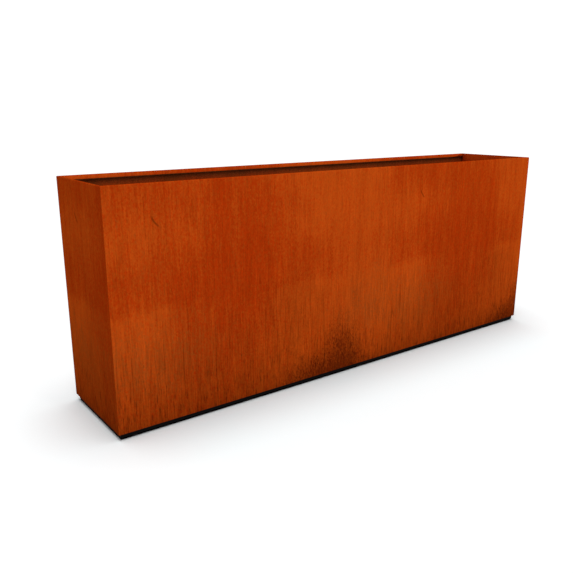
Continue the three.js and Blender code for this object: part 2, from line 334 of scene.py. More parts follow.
def make_floor():
    """A wide floor with a hole inside the base frame, where only a view from below could see it."""
    mesh = bpy.data.meshes.new("floor")
    rings = [(FLOOR_REACH, FLOOR_REACH), (RING_INNER_X, RING_INNER_Y)]
    corners = [(a * w, b * h, 0) for w, h in rings for a, b in ((-1, -1), (1, -1), (1, 1), (-1, 1))]
    mesh.from_pydata(corners, [], [(i, (i + 1) % 4, (i + 1) % 4 + 4, i + 4) for i in range(4)])
    mesh.materials.append(floor_white())
    floor = in_scene("floor", mesh)


def make_stage():
    make_world()
    make_sun("overhead", strength=2.3, spread=40, elevation=90, azimuth=0)
    make_sun("front_key", strength=1.45, spread=0.6, elevation=2.5, azimuth=12)
    make_floor()
    bpy.context.scene.view_settings.view_transform = "Standard"


# ---- Materials ----


def srgb(*display):
    """A colour from its 0-255 display values."""
    shares = [value / 255 for value in display]
    return (*(v / 12.92 if v <= 0.04045 else ((v + 0.055) / 1.055) ** 2.4 for v in shares), 1)


RUST_ORANGE = srgb(166, 64, 12)
RUST_RED = srgb(148, 41, 3)
RUST_BROWN = srgb(134, 57, 14)
RUST_SOOT = srgb(58, 14, 3)
# The next colour is painted shade, used just under the lips on the inner faces.
RUST_LIP_SHADE = srgb(112, 66, 34)
RUST_TIDE = srgb(176, 96, 44)

PATINA_SPAN = 1.393  # a wall's large marks recur at this distance
PATINA_START = 0.010  # how far before a wall's left edge the first span begins
OUTER_FACE = (1.2 * MM, 1.8 * MM)  # where it ends, as depths behind the wall's outside
FOLDED_LIP = (4.5 * MM, 6 * MM)  # where it begins


class WallRust(Shading):
    """Patina of a wall. u runs along the wall, across runs along one span of the patina, and
    height goes from 0 at the wall's foot to 1 at its rim."""

    def __init__(self, name, x_factor, y_factor, half_length):
        super().__init__(name, "weathering_steel")
        x, y, self.z = self.position()
        self.is_long = x_factor != 0
        self.u = x * x_factor + y * y_factor + (half_length + PATINA_START)
        self.depth = x * y_factor + y * x_factor
        self.behind = abs(abs(self.depth) - (DEPTH if self.is_long else LENGTH) / 2)
        self.across = self.u % PATINA_SPAN
        self.height = (self.z - WALL_BOTTOM) * (1 / WALL_HEIGHT)

        # Places that are moved about by noise, so that no outline is regular.
        drift = self.noise((self.across, self.z * 1.6, 0.0), 5.0, 4.0, 0.6)
        rise = self.noise((self.across * 2.5, self.z, 5.0), 5.0, 4.0, 0.6)
        self.bent = (self.across + swing(drift, 0.30), self.height + swing(rise, 0.28))
        self.sooty = (self.across + swing(drift, 0.14), self.height + swing(rise, 0.18))
        self.even_height = self.height + swing(rise, 0.10)

        # Streaks of wear, and granules that are slightly taller than wide.
        self.wear = self.streaks(80.0, 7.0, 2.0, 15)
        self.speckle = self.noise((self.u, self.z * 0.7, self.depth), 110.0, 1.0, 0.6)
        self.grain, self.grain_hue = self.grains((self.u, self.z * 0.6, self.depth), 240.0)

    def streaks(self, per_metre, seed, detail=4.0, aspect=15):
        """Upright streaks of many widths, the broadest about 1 / per_metre wide."""
        place = (self.u * per_metre, self.z * (per_metre / aspect), self.depth + seed)
        return self.noise(place, 1.0, detail, 0.86)

    def red_cloud(self):
        """How red the patina is: a leaning column, a level band and a zone under the rim."""
        bent_u, bent_h = self.bent
        column = self.blob(bent_u - self.height * 0.18, bent_h, (0.44, 0.58), (0.42, 0.85))
        band = self.ramp(self.even_height, 0.47, 0.52) * self.ramp(bent_h, 0.60, 0.84, 1.0, 0.0)
        band *= self.ramp(bent_u, 0.85, 1.15, 0.58, 0.22)
        top = self.ramp(self.even_height, 0.74, 0.98) * self.ramp(self.across, 0.20, 0.80, 0.62, 0.0)
        return column + band + (top - column * band)

    def tint(self, red):
        """The patina's colour, before any darkening."""
        redness = red * 0.78 + swing(self.streaks(14.0, 3.0), 1.9)
        redness += swing(self.wear, 1.2)
        redness += swing(self.speckle, 1.6)
        redness += swing(self.grain_hue, 0.6)
        colour = self.mix(self.ramp(redness, -0.35, 1.0), RUST_ORANGE, RUST_RED)
        brown_left = self.blob(*self.bent, (0.15, 0.28), (0.50, 0.30))
        brown_right = self.blob(*self.bent, (1.30, 0.32), (0.40, 0.30))
        browning = self.math("MAXIMUM", brown_left, brown_right) * 0.7
        browning += swing(self.wear, 2.2)
        browning += swing(self.grain, 0.9)
        return self.mix(self.ramp(browning, 0.0, 1.3), colour, RUST_BROWN)

    def level(self, red):
        """How light the patina is, with streaks that are calmer high up and on the end walls."""
        contrast = 1.0 if self.is_long else 0.65
        tone = self.streaks(11.0, 0.0)
        level = self.ramp(red, 0.0, 1.0, 0.99, 0.93) + swing(tone, 0.32 * contrast)
        pale_left = self.blob(self.across, self.bent[1], (0.10, 0.36), (0.24, 0.30))
        pale_right = self.blob(self.across, self.bent[1], (1.32, 0.26), (0.24, 0.40))
        level += self.math("MAXIMUM", pale_left, pale_right) * 0.14
        level -= self.blob(*self.bent, (0.80, 0.36), (0.26, 0.28)) * 0.15
        level -= self.blob(*self.bent, (0.50, 0.13), (0.46, 0.28)) * 0.08
        # Painted shade: the end walls are made a little darker than the long ones.
        level -= 0.0 if self.is_long else 0.025

        calm = self.blob(self.bent[0], self.height, (1.08, 0.85), (0.55, 0.60))
        strength = (self.ramp(self.height, 0.05, 0.75, 1.45, 0.85) - calm * 0.40) * contrast
        fine = self.streaks(165.0, 5.0, 1.0, 18)
        lines = self.streaks(110.0, 11.0, 1.0, 70)
        level += strength * (swing(self.wear, 0.42) + swing(fine, 0.60))
        level += swing(self.speckle, 0.45) + swing(self.grain, 0.13)
        level *= 1.0 - strength * self.ramp(lines, 0.66, 0.76, 0.0, 0.21)
        long_fade = self.math("EXPONENT", self.height * (-1 / 0.30)) * 0.41
        foot_fade = self.math("EXPONENT", self.height * (-1 / 0.04)) * 0.08
        return level * (1.0 - (long_fade + foot_fade))

    def dashes(self, colour):
        """Dark upright dashes, denser towards the ground."""
        dashes = self.noise((self.u * 170.0, self.z * 20.0, self.depth), 1.0, 3.0, 0.7)
        least = self.ramp(self.height, 0.0, 0.62, 0.52, 0.70)
        dashes = self.ramp(dashes, least, least + 0.12)
        return self.mix(dashes * self.ramp(self.height, 0.05, 0.6, 0.50, 0.12), colour, RUST_SOOT)

    def soot(self, colour, level):
        """A sooty patch at the foot, made of dark granules that thin out at its edge."""
        tower = self.blob(*self.sooty, (1.09, -0.05), (0.24, 0.50))
        soot = self.math("MAXIMUM", tower, self.blob(*self.sooty, (1.02, -0.05), (0.45, 0.27)))
        smudge = self.noise((self.u * 150.0, self.z * 40.0, self.depth), 1.0, 2.0, 0.7)
        flecks = self.ramp(soot + swing(smudge, 0.8) + swing(self.grain_hue, 0.65), 0.20, 0.95)
        colour = self.mix(self.ramp(soot, 0.05, 0.80, 0.0, 0.22), colour, RUST_SOOT)
        colour = self.mix(flecks * self.ramp(soot, 0.0, 0.4, 0.0, 0.58), colour, RUST_SOOT)
        return colour, level * self.ramp(soot, 0.6, 1.0, 1.0, 1.12)

    def scratch(self, centre, half_length, half_width, slant, bow):
        """A short curved mark. slant is its sideways run for each unit that it drops."""
        reach = math.hypot(1, slant)
        du, dz = self.across - centre[0], self.z - centre[1]
        along = du * (slant / reach) + dz * (-1 / reach)
        aside = du * (1 / reach) + dz * (slant / reach)
        inside = self.ramp(abs(aside - along**2 * bow), 0.3 * half_width, half_width, 1.0, 0.0)
        return inside * self.ramp(abs(along), 0.4 * half_length, half_length, 1.0, 0.0)

    def marks(self, level):
        """A mark of handling and one pale run, on the outer face only."""
        outer = self.ramp(self.behind, *OUTER_FACE, 1.0, 0.0)
        mark = self.scratch((0.198, 0.798), 0.031, 0.0052, 0.75, 5.0)
        run = self.scratch((0.622, 0.45), 0.15, 0.0040, -0.02, 0.5)
        return level * (1.0 - mark * outer * 0.44) * (1.0 + run * outer * 0.12)

    def inside(self, colour, level):
        """The inner face is blotched, with painted shade just under the lip that gives way to painted
        light on the upper inner wall, and painted light on the folded lips' inner faces."""
        below_rim = RIM - self.z
        inner = self.ramp(self.behind, *OUTER_FACE)
        inner *= self.ramp(self.behind, *FOLDED_LIP, 1.0, 0.0)
        inner *= self.ramp(below_rim, 3.1 * MM, 5 * MM)
        blotch = self.noise((self.u, self.z * 0.6, 9.0), 14.0, 5.0, 0.65)
        colour = self.mix(inner * self.ramp(blotch, 0.42, 0.62, 0.0, 0.65), colour, RUST_BROWN)
        # Painted shade: a darker, browner colour just under the lip that fades lower down.
        painted_lip_shade = self.ramp(below_rim, 14 * MM, 60 * MM, 0.85, 0.15)
        colour = self.mix(inner * painted_lip_shade, colour, RUST_LIP_SHADE)
        # Painted shade just under the rim, then painted light that brightens the upper inner wall and
        # fades deeper down.
        painted_inner_light_and_shade = self.ramp(below_rim, 10 * MM, 50 * MM, -0.45, 1.05)
        painted_inner_light_and_shade *= self.ramp(below_rim, 0.10, 0.45, 1.0, 0.25)
        level *= 1.0 + inner * (painted_inner_light_and_shade + swing(blotch, -0.6))
        # Painted light: the folded lips' inner faces are made lighter, those of the end walls more.
        lip = self.ramp(self.behind, *FOLDED_LIP) * self.ramp(below_rim, 1 * MM, 5 * MM)
        return colour, level * (1.0 + lip * (0.60 if self.is_long else 0.90))


def wall_rust(name, x_factor, y_factor, half_length):
    """The finish of a wall along which x * x_factor + y * y_factor grows."""
    s = WallRust(name, x_factor, y_factor, half_length)
    red = s.red_cloud()
    colour, level = s.soot(s.dashes(s.tint(red)), s.level(red))
    colour, level = s.inside(colour, s.marks(level))
    s.bump(s.wear * 0.6 + s.speckle * 0.6 + s.grain * 0.12, 0.15 * MM)
    return s.finish(s.shade(colour, level), s.ramp(s.speckle, 0.2, 0.8, 0.72, 0.92), 0.0, 0.0)


def frame_rust(name, seed, tone=1.0, drains=None):
    """Patina of the pieces inside. drains is (spacing, offset) of rings of stain along X."""
    s = Shading(name, "weathering_steel")
    x, y, z = s.position()
    place = (x + seed, y, z)
    clouds = s.noise(place, 7.0, 5.0, 0.6)
    blotch = s.noise(place, 38.0, 4.0, 0.65)
    speckle = s.noise(place, 160.0, 2.0, 0.7)
    runs = s.noise((x * 60.0, y * 60.0, z * 4.0), 1.0, 3.0, 0.7)
    grain, grain_hue = s.grains(place, 420.0)

    redness = swing(clouds, 2.4) + swing(speckle, 1.2) + swing(grain_hue, 0.5)
    colour = s.mix(s.ramp(redness, -0.6, 0.8), RUST_ORANGE, RUST_RED)
    colour = s.mix(s.ramp(blotch, 0.44, 0.66, 0.0, 0.85), colour, RUST_BROWN)
    pits = s.ramp(speckle + swing(grain, 0.20), 0.60, 0.74)
    colour = s.mix(pits * 0.6, colour, RUST_SOOT)
    level = tone + swing(clouds, 0.5) + swing(runs, 0.7) + swing(grain, 0.16)

    if drains:
        spacing, offset = drains
        along = (x + offset) % spacing - spacing / 2
        distance = s.math("SQRT", along**2 + y**2) + swing(blotch, 0.09) + swing(clouds, 0.13)
        pool = s.ramp(distance, 0.03, 0.17, 1.0, 0.0)
        tide = s.ramp(distance, 0.085, 0.106) * s.ramp(distance, 0.108, 0.150, 1.0, 0.0)
        colour = s.mix(pool * 0.55, colour, RUST_SOOT)
        colour = s.mix(tide * s.ramp(speckle, 0.3, 0.7, 0.15, 0.55), colour, RUST_TIDE)

    s.bump(blotch * 0.5 + speckle * 0.6 - pits * 0.5, 0.25 * MM)
    return s.finish(s.shade(colour, level), s.ramp(speckle, 0.2, 0.8, 0.74, 0.95), 0.0, 0.0)


def black_coat():
    """Black powder coat with a fine orange-peel texture, and a little dust low down."""
    s = Shading("black_powder_coat", "black_coated_steel")
    at = s.position()
    peel = s.noise(at, 900.0)
    dust = s.noise(at, 60.0, 5.0, 0.7)
    grain, _ = s.grains(at, 700.0)
    clouds = s.noise(at, 9.0, 4.0, 0.6)
    coat = s.mix(clouds, (0.0014, 0.0014, 0.0015, 1), (0.0036, 0.0035, 0.0036, 1))
    specks = s.ramp(dust + swing(grain, 0.25), 0.58, 0.76)
    specks *= s.ramp(at[2], 2 * MM, 26 * MM, 0.06, 0.02)
    colour = s.mix(specks, coat, (0.10, 0.075, 0.055, 1))
    s.bump(peel * 0.8 + grain * 0.2, 0.06 * MM)
    return s.finish(colour, s.ramp(dust + swing(peel, 0.5), 0.3, 0.7, 0.55, 0.78), 0.0, 0.02)


def stainless_steel():
    """Dull stainless steel with turning marks about X and faint tea-coloured stains."""
    s = Shading("stainless", "stainless_steel")
    x, y, z = s.position()
    marks = s.noise((x * 4200.0, y * 260.0, z * 260.0), 1.0, 2.0, 0.6)
    scuff = s.noise((x * 500.0, y * 1600.0, z * 500.0), 1.0, 2.0, 0.6)
    stain = s.noise((x, y, z), 190.0, 4.0, 0.65)
    steel = s.mix(s.ramp(marks, 0.35, 0.65), (0.42, 0.42, 0.41, 1), (0.60, 0.595, 0.58, 1))
    colour = s.mix(s.ramp(stain, 0.52, 0.74, 0.0, 0.75), steel, (0.24, 0.115, 0.045, 1))
    s.bump(marks * 0.5 + scuff * 0.5, 0.03 * MM)
    roughness = s.ramp(scuff, 0.3, 0.7, 0.26, 0.44) + s.ramp(stain, 0.52, 0.74, 0.0, 0.25)
    return s.finish(colour, roughness, 1.0)


def black_nylon():
    """Moulded nylon with a spark-eroded grain and silt in its hollows."""
    s = Shading("black_nylon", "black_nylon")
    x, y, z = at = s.position()
    grain = s.noise(at, 1500.0, 2.0, 0.6)
    silt = s.noise(at, 130.0, 5.0, 0.7)
    flow = s.noise((x, y, z * 4.0), 70.0, 3.0)
    plastic = s.mix(flow, (0.008, 0.008, 0.008, 1), (0.017, 0.017, 0.018, 1))
    colour = s.mix(s.ramp(silt, 0.50, 0.75, 0.0, 0.45), plastic, (0.085, 0.052, 0.032, 1))
    s.bump(grain + silt * 0.5, 0.05 * MM)
    return s.finish(colour, s.ramp(silt, 0.4, 0.7, 0.48, 0.80), 0.0, 0.4)


def black_rubber():
    """Matt rubber, greyed where it meets the ground."""
    s = Shading("black_rubber", "black_rubber")
    at = s.position()
    grain = s.noise(at, 1100.0, 2.0, 0.6)
    scuff = s.noise(at, 210.0, 4.0, 0.7)
    rubber = s.mix(scuff, (0.010, 0.010, 0.010, 1), (0.024, 0.023, 0.022, 1))
    worn = s.ramp(at[2], 0.0, 1.6 * MM, 0.55, 0.08) * s.ramp(scuff, 0.35, 0.65)
    colour = s.mix(worn, rubber, (0.11, 0.10, 0.09, 1))
    s.bump(grain + scuff * 0.6, 0.06 * MM)
    return s.finish(colour, s.ramp(scuff, 0.3, 0.7, 0.80, 0.96), 0.0, 0.3)


# ---- Mesh helpers ----


def as_mesh(bm, name="part"):
    """A mesh from a bmesh, which is freed."""
    bmesh.ops.recalc_face_normals(bm, faces=bm.faces)
    mesh = bpy.data.meshes.new(name)
    bm.to_mesh(mesh)
    bm.free()
    return mesh


def add_piece(name, bm, finish, replaced=(), sharp_from=SHARP_FROM):
    """Turns a bmesh into a piece of the planter that rides on its body."""
    material, slot = finish
    mesh = as_mesh(bm, name)
    for polygon in mesh.polygons:
        polygon.use_smooth = True
    mesh.set_sharp_from_angle(angle=math.radians(sharp_from))
    mesh.materials.append(material)
    piece = in_scene(name, mesh)
    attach(piece, BODY)
    if replaced:
        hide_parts(*replaced)


def rebuild(node, suffix, bm, finish, sharp_from=SHARP_FROM):
    """Adds the piece that stands in for a CAD node."""
    add_piece(f"{node}_{suffix}", bm, finish, [node], sharp_from)


def is_long(side):
    return side in ("front", "rear")


def inwards_from(side, half_x, half_y):
    """Places (along, depth, z) points. The depth runs inwards from a face of a centred box."""
    return {
        "front": lambda along, depth, z: (along, depth - half_y, z),
        "rear": lambda along, depth, z: (along, half_y - depth, z),
        "left": lambda along, depth, z: (depth - half_x, along, z),
        "right": lambda along, depth, z: (half_x - depth, along, z),
    }[side]


def middle(node):
    low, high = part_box(node)
    return (low + high) / 2


def stood_at(bm, node, rise=0):
    """A copy of an upright bmesh in a node's place, with its z = 0 above the node's foot."""
    copy = bm.copy()
    centre = middle(node)
    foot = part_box(node)[0].z + rise
    copy.transform(Matrix.Translation((centre.x, centre.y, foot)))
    return copy


def joined(parts):
    """One bmesh that holds several, which are freed."""
    whole = bmesh.new()
    for mesh in map(as_mesh, parts):
        whole.from_mesh(mesh)
        bpy.data.meshes.remove(mesh)
    return whole


def without(bm, cutter):
    """The body less the cutter's bodies. Both are freed."""
    body, tool = (in_scene("part", as_mesh(part)) for part in (bm, cutter))
    cut = body.modifiers.new("cut", "BOOLEAN")
    cut.operation = "DIFFERENCE"
    cut.solver = "EXACT"
    cut.object = tool
    result = bmesh.new()
    result.from_object(body, bpy.context.evaluated_depsgraph_get())
    for mesh in (body.data, tool.data):
        bpy.data.meshes.remove(mesh)
    return result


def full_turn(count):
    """Evenly spread angles."""
    return [2 * math.pi * i / count for i in range(count)]


def cross(a, b):
    return a.x * b.y - a.y * b.x


def rounded_outline(corners):
    """A closed outline from (a, b, radius) corners, each rounded to its radius."""
    points = []
    for i, (a, b, radius) in enumerate(corners):
        here = Vector((a, b))
        if not radius:
            points.append(here)
            continue
        back = (Vector(corners[i - 1][:2]) - here).normalized()
        onward = (Vector(corners[(i + 1) % len(corners)][:2]) - here).normalized()
        half = back.angle(onward) / 2
        centre = here + (back + onward).normalized() * radius / math.sin(half)
        first = here + back * radius / math.tan(half) - centre
        last = here + onward * radius / math.tan(half) - centre
        sweep = math.atan2(cross(first, last), first.dot(last))
        steps = FINE_STEPS if radius < FINE_RADIUS else ARC_STEPS
        for step in range(steps + 1):
            turn = sweep * step / steps
            c, s = math.cos(turn), math.sin(turn)
            points.append(centre + Vector((first.x * c - first.y * s, first.x * s + first.y * c)))
    return points


def folded_outline(corners):
    """The outline of a sheet folded at right angles, from the corners of its outer face."""
    points = [Vector(c) for c in corners]
    ways = [(b - a).normalized() for a, b in zip(points, points[1:])]
    turn = 1 if cross(ways[0], ways[1]) > 0 else -1
    inward = [Vector((-w.y, w.x)) * turn * SHEET for w in ways]
    outer = [(p, FOLD_RADIUS) for p in points]
    inner = [(p + a + b, FOLD_RADIUS - SHEET) for p, a, b in zip(points[1:], inward, inward[1:])]
    inner = [(points[0] + inward[0], CUT_EDGE), *inner, (points[-1] + inward[-1], CUT_EDGE)]
    outer[0], outer[-1] = (points[0], CUT_EDGE), (points[-1], CUT_EDGE)
    return rounded_outline([(p.x, p.y, radius) for p, radius in outer + inner[::-1]])


def rectangle(left, bottom, right, top, radius):
    corners = [(left, bottom), (right, bottom), (right, top), (left, top)]
    return rounded_outline([(a, b, radius) for a, b in corners])


def circle(a, b, radius, segments=32):
    return [Vector((a + radius * math.cos(t), b + radius * math.sin(t))) for t in full_turn(segments)]


def inset(loop, distance, hole):
    """The loop moved into the material by a small distance."""
    area = sum(cross(p, q) for p, q in zip(loop, loop[1:] + loop[:1]))
    side = (1 if area > 0 else -1) * (-1 if hole else 1)
    ways = [(q - p).normalized() for p, q in zip(loop, loop[1:] + loop[:1])]
    normals = [Vector((-w.y, w.x)) * side for w in ways]
    moves = [(m + n) / (1 + m.dot(n)) for m, n in zip(normals[-1:] + normals[:-1], normals)]
    return [p + move * distance for p, move in zip(loop, moves)]


def prism(outline, ends, place, holes=(), edge=CUT_EDGE):
    """A bar along one axis with rounded end edges. ends(a) gives where it starts and stops at a
    section point's first coordinate, and place(along, a, b) puts a point into the frame."""
    loops = [(outline, False)] + [(hole, True) for hole in holes]
    bm = bmesh.new()
    rings = []
    quarter = [i * math.pi / 2 / FINE_STEPS for i in range(FINE_STEPS + 1)]
    for far in (False, True):
        for angle in reversed(quarter) if far else quarter:
            back = edge * (1 - math.cos(angle))
            ring = []
            for loop, hole in loops:
                row = []
                for a, b in inset(loop, edge * (1 - math.sin(angle)), hole):
                    start, stop = ends(a)
                    row.append(bm.verts.new(place(stop - back if far else start + back, a, b)))
                ring.append(row)
            rings.append(ring)
    for ring, following in zip(rings, rings[1:]):
        for near, far in zip(ring, following):
            for i in range(len(near)):
                bm.faces.new((near[i - 1], near[i], far[i], far[i - 1]))
    triangles = tessellate_polygon([[Vector((a, b, 0)) for a, b in loop] for loop, _ in loops])
    for ring in (rings[0], rings[-1]):
        verts = [v for row in ring for v in row]
        for triangle in triangles:
            bm.faces.new([verts[i] for i in triangle])
    return bm


def fixed_ends(start, stop):
    return lambda a: (start, stop)


def along_x(along, a, b):
    return along, a, b


def along_z(along, a, b):
    return a, b, along


def loft(rings, wrap=False):
    """A closed skin over rings of points. A ring of one point closes its end, and wrap joins
    the last ring to the first."""
    bm = bmesh.new()
    rows = [[bm.verts.new(p) for p in ring] for ring in rings]
    pairs = list(zip(rows, rows[1:])) + ([(rows[-1], rows[0])] if wrap else [])
    for near, far in pairs:
        for i in range(max(len(near), len(far))):
            corners = [near[i - 1 if len(near) > 1 else 0], near[i if len(near) > 1 else 0]]
            corners += [far[i if len(far) > 1 else 0], far[i - 1 if len(far) > 1 else 0]]
            bm.faces.new(list(dict.fromkeys(corners)))
    return bm


def closed_loft(rings):
    """A skin over rings of the same size, with flat ends."""
    bm = loft(rings)
    bm.verts.ensure_lookup_table()
    bm.faces.new(bm.verts[: len(rings[0])])
    bm.faces.new(bm.verts[-len(rings[0]) :])
    return bm


def rounds(profile, place=along_z, segments=ROUND_SEGMENTS):
    """Rings about an axis, from (radius, height) points. A radius of 0 gives a ring of one point."""
    rings = []
    for radius, height in profile:
        angles = full_turn(segments if radius else 1)
        rings.append([place(height, radius * math.cos(t), radius * math.sin(t)) for t in angles])
    return rings


def turned(path, segments=ROUND_SEGMENTS):
    """A turned piece from (radius, height, rounding) corners in millimetres."""
    outline = rounded_outline([(r * MM, height * MM, rounding * MM) for r, height, rounding in path])
    return loft(rounds([(max(p.x, 0.0), p.y) for p in outline], segments=segments))


# ---- Walls ----

INNER_WALL_X = LENGTH / 2 - SHEET
INNER_WALL_Y = DEPTH / 2 - SHEET
WALL_EDGE = 0.1 * MM  # rounding of the walls' mitred ends
CORNER_STEP = 0.17 * MM  # between the levels of a corner weld's rounded ends
CORNER_LEVELS = 5

WALL_FINISHES = {
    "front": wall_rust("rust_front", 1, 0, LENGTH / 2),
    "rear": wall_rust("rust_rear", -1, 0, LENGTH / 2),
    "left": wall_rust("rust_left", 0, -1, DEPTH / 2),
    "right": wall_rust("rust_right", 0, 1, DEPTH / 2),
}


def make_wall(side, length, lip, drop, neighbour_lip):
    """A sheet with a return at its foot and a folded lip, whose ends are mitred."""
    slope = neighbour_lip / lip

    def ends(depth):
        stop = length / 2 - max(CORNER_RADIUS, depth * slope)
        return -stop, stop

    corners = [(BOTTOM_RETURN, WALL_BOTTOM), (0, WALL_BOTTOM), (0, RIM), (lip, RIM), (lip, RIM - drop)]
    place = inwards_from(side, LENGTH / 2, DEPTH / 2)
    bm = prism(folded_outline(corners), ends, place, edge=WALL_EDGE)
    rebuild(WALLS[side], "skin", bm, WALL_FINISHES[side])


def make_walls():
    for side in WALLS:
        if is_long(side):
            make_wall(side, LENGTH, LONG_LIP, LONG_DROP, END_LIP)
        else:
            make_wall(side, DEPTH, END_LIP, END_DROP, LONG_LIP)


def corner_ring(set_back):
    """The outline of a corner's ground weld where the folds stand back from the walls' faces."""
    radius = CORNER_RADIUS
    slope = LONG_LIP / END_LIP
    ring = [(radius, radius * slope), (radius / slope, radius), (set_back, radius)]
    for i in range(1, ARC_STEPS):
        angle = math.pi / 2 * i / ARC_STEPS
        reach = radius - set_back
        ring.append((radius - reach * math.cos(angle), radius - reach * math.sin(angle)))
    return ring + [(radius, set_back)]


def make_corner_welds():
    """Quarter-round welds, ground smooth, that close the four upright corners."""
    levels = []
    for i in range(CORNER_LEVELS):
        set_back = CORNER_STEP * i
        rise = math.sqrt(FOLD_RADIUS**2 - (FOLD_RADIUS - set_back) ** 2)
        levels.append((set_back, FOLD_RADIUS - rise))
    heights = [(set_back, WALL_BOTTOM + below) for set_back, below in reversed(levels)]
    heights += [(set_back, RIM - below) for set_back, below in levels]
    for side, y_sign in SIDES:
        for end, x_sign in ENDS:
            corner = Vector((x_sign * LENGTH / 2, y_sign * DEPTH / 2, 0))
            rings = [
                [corner + Vector((-x_sign * a, -y_sign * b, z)) for a, b in corner_ring(set_back)]
                for set_back, z in heights
            ]
            add_piece(f"corner_weld_{side}_{end}", closed_loft(rings), WALL_FINISHES[side])


# ---- Posts, ribs and tie bars ----

LIGHT_RUST = frame_rust("rust_ribs", 2.0, 0.92)
DARK_RUST = frame_rust("rust_ties", 5.0, 0.85)
WELD_RUST = frame_rust("rust_welds", 8.0, 0.62)
STAINLESS = stainless_steel()

BOLT_RADIUS = 5 * MM
BOLT_HEAD = 6.4 * MM
BOLT_HOLE = 5.5 * MM
FLATS = 17 * MM  # across the heads and the nuts
HEX_FACE = 0.485 * FLATS  # radius where a hexagon's end face turns into its chamfer
HEX_SLOPE = math.radians(30)
THREAD_PITCH = 1.5 * MM
THREAD_DEPTH = 0.85 * MM
THREAD_STEPS = 6  # rings in each turn of the thread
BAR_EDGE = 0.8 * MM  # rounding of a rolled flat bar


def upright_angle(node, x_side, y_side):
    """A folded angle as tall as the node. Its corner is at the node's low (1) or high (-1) side."""
    low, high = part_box(node)
    corner = Vector((low.x if x_side > 0 else high.x, low.y if y_side > 0 else high.y, low.z))
    leg = high.x - low.x
    section = folded_outline([(x_side * leg, 0), (0, 0), (0, y_side * leg)])
    ends = fixed_ends(0, high.z - low.z)
    return prism(section, ends, lambda along, a, b: corner + Vector((a, b, along)))


def make_posts():
    for side, y_sign in SIDES:
        for end, x_sign in ENDS:
            node = f"corner_post_{side}_{end}"
            rebuild(node, "angle", upright_angle(node, -x_sign, -y_sign), LIGHT_RUST)


def make_rib(node, side, bolt):
    """An angle with one leg on the wall and the other standing out, drilled for the bolt."""
    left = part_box(node)[0].x
    reach = fixed_ends(left - SHEET, left + 2 * SHEET)
    drill = prism(circle(bolt.y, bolt.z, BOLT_HOLE), reach, along_x, edge=0)
    rebuild(node, "angle", without(upright_angle(node, 1, side), drill), LIGHT_RUST)


def make_tie_bar(node, bolts):
    low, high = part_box(node)
    holes = [circle(bolt.y, bolt.z, BOLT_HOLE) for bolt in bolts]
    outline = rectangle(low.y, low.z, high.y, high.z, FOLD_RADIUS)
    bm = prism(outline, fixed_ends(low.x, high.x), along_x, holes, BAR_EDGE)
    rebuild(node, "flat", bm, DARK_RUST)


def about_x(node):
    """The node's length and radius, and a way to place points about its middle line."""
    low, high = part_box(node)
    centre = (low + high) / 2

    def place(along, a, b):
        return low.x + along, centre.y + a, centre.z + b

    return high.x - low.x, (high.y - low.y) / 2, place


def hexagon_ring(height, drop, place):
    """The end of a hexagon's sides. drop is 1 or -1 where a cone cuts them down or up, and 0
    where none does."""
    ring = []
    for angle in full_turn(ROUND_SEGMENTS):
        radius = FLATS / 2 / math.cos(angle % (math.pi / 3) - math.pi / 6)
        cone = max(0.0, radius - HEX_FACE) * math.tan(HEX_SLOPE)
        ring.append(place(height - drop * cone, radius * math.cos(angle), radius * math.sin(angle)))
    return ring


def thread_rings(start, stop, place):
    """Rings of a right-hand thread, with its last turn chamfered. Its crests and its roots are
    flat for a tenth of the pitch."""
    steps = math.ceil((stop - start) / THREAD_PITCH * THREAD_STEPS)
    rings = []
    for i in range(steps + 1):
        height = start + (stop - start) * i / steps
        ring = []
        for j, angle in enumerate(full_turn(ROUND_SEGMENTS)):
            phase = (height / THREAD_PITCH - j / ROUND_SEGMENTS) % 1
            cut = min(1.0, max(0.0, 1.25 * abs(2 * phase - 1) - 0.125))
            radius = BOLT_RADIUS - THREAD_DEPTH * cut
            radius = min(radius, BOLT_RADIUS - THREAD_DEPTH + (stop - height))
            ring.append(place(height, radius * math.cos(angle), radius * math.sin(angle)))
        rings.append(ring)
    return rings


def make_bolt(node):
    """A set screw with a dished head, its sides cut back at both ends."""
    length, _, place = about_x(node)
    top = [(0, 0.25 * MM), (0.40 * FLATS, 0.1 * MM), (0.43 * FLATS, 0), (HEX_FACE, 0)]
    seat = BOLT_HEAD - 0.3 * MM
    under = [(0.475 * FLATS, seat), (0.47 * FLATS, BOLT_HEAD), (BOLT_RADIUS, BOLT_HEAD)]
    rings = rounds(top, place) + [hexagon_ring(0, -1, place), hexagon_ring(seat, 0, place)]
    rings += rounds(under, place) + thread_rings(BOLT_HEAD + 0.6 * MM, length, place)
    rings += rounds([(0, length)], place)
    rebuild(node, "threaded", loft(rings), STAINLESS, HEX_SHARP_FROM)


def make_nut(node):
    height, _, place = about_x(node)
    bore, flare = BOLT_RADIUS + 0.1 * MM, 0.7 * MM
    near = [(bore, flare), (bore + flare, 0), (HEX_FACE, 0)]
    far = [(radius, height - rise) for radius, rise in reversed(near)]
    rings = rounds(near, place) + [hexagon_ring(0, -1, place), hexagon_ring(height, 1, place)]
    rebuild(node, "hex", loft(rings + rounds(far, place), wrap=True), STAINLESS, HEX_SHARP_FROM)


def make_washer(node):
    thickness, radius, place = about_x(node)
    section = rectangle(BOLT_RADIUS + 0.3 * MM, 0, radius, thickness, 0.3 * MM)
    rebuild(node, "ring", loft(rounds(section, place), wrap=True), STAINLESS)


def make_braces():
    for n in STATIONS:
        bolts = {side: middle(f"tie_bolt_{side}_{n}") for side, _ in SIDES}
        for side, sign in SIDES:
            make_rib(f"rib_{side}_{n}", -sign, bolts[side])
        make_tie_bar(f"tie_bar_{n}", bolts.values())
        for side in bolts:
            make_bolt(f"tie_bolt_{side}_{n}")
            make_washer(f"tie_washer_{side}_{n}")
            make_nut(f"tie_nut_{side}_{n}")


# ---- Floor tray and drains ----

